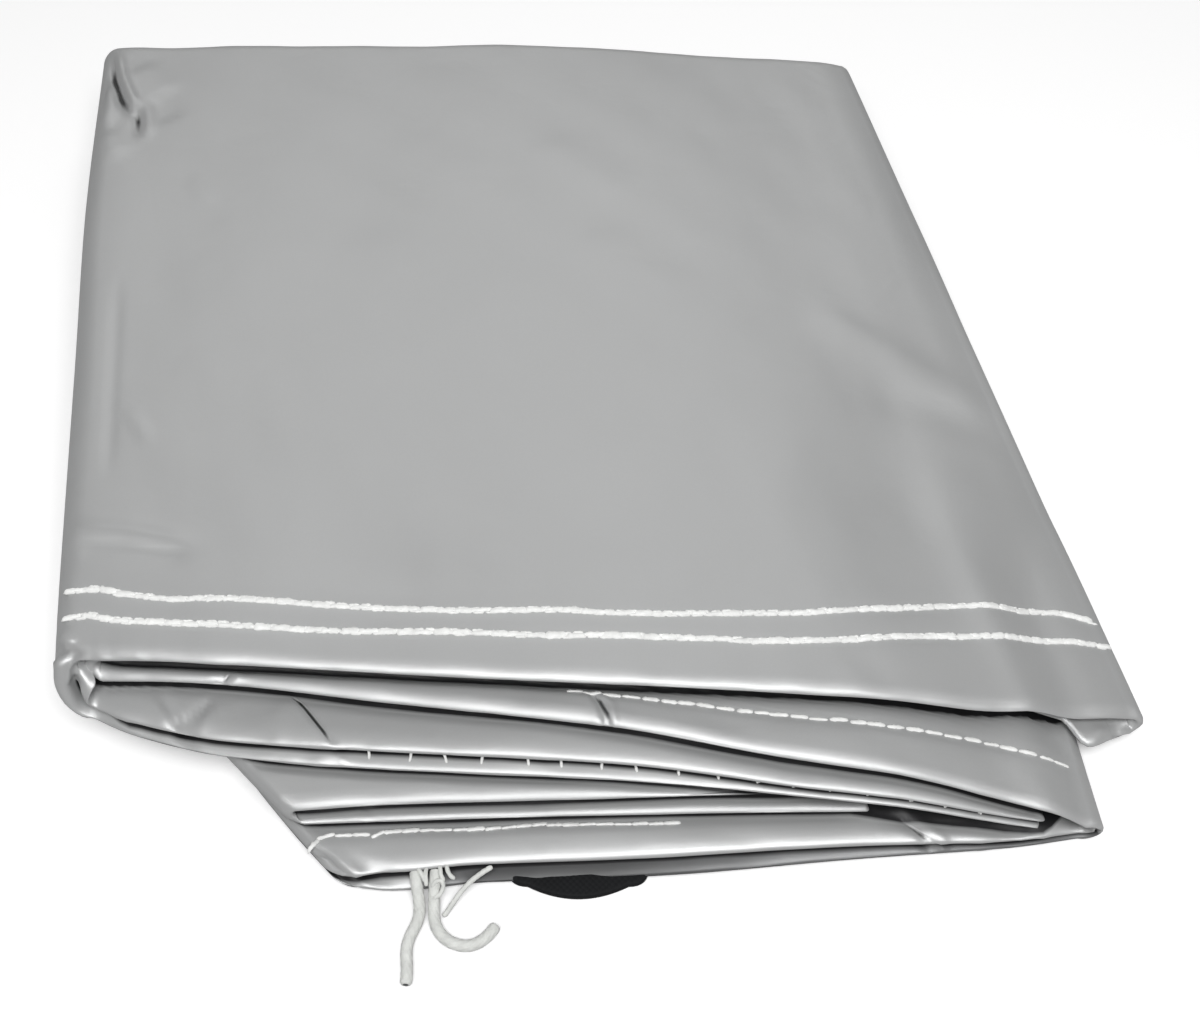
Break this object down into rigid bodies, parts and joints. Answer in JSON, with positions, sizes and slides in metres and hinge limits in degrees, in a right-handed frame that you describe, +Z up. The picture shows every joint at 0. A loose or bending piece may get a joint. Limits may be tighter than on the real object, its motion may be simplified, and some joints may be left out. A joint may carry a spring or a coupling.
{
  "type": "folded motorcycle cover",
  "caption": "Silver-grey coated cloth motorcycle cover folded into a flat packet, with white-stitched hems along its front, drawcord ends and a black tab.",
  "frame": {"origin": "under the middle of the folded packet, on the surface that it lies on", "axes": "+Z up through the folded layers, -Y towards the front where the hems and the drawcord ends are, +X to the right seen from the front"},
  "size_m": [0.4431, 0.4532, 0.05],
  "materials": {
    "silver_cloth": "satin silver-grey coated polyester",
    "white_cord": "matt white braided cotton and polyester",
    "black_webbing": "matt black webbing"
  },
  "bodies": {
    "root": {"cover_cloth": "silver_cloth", "cord_left": "white_cord", "cord_right": "white_cord", "cord_thread": "white_cord", "black_tab": "black_webbing"}
  },
  "joints": []
}
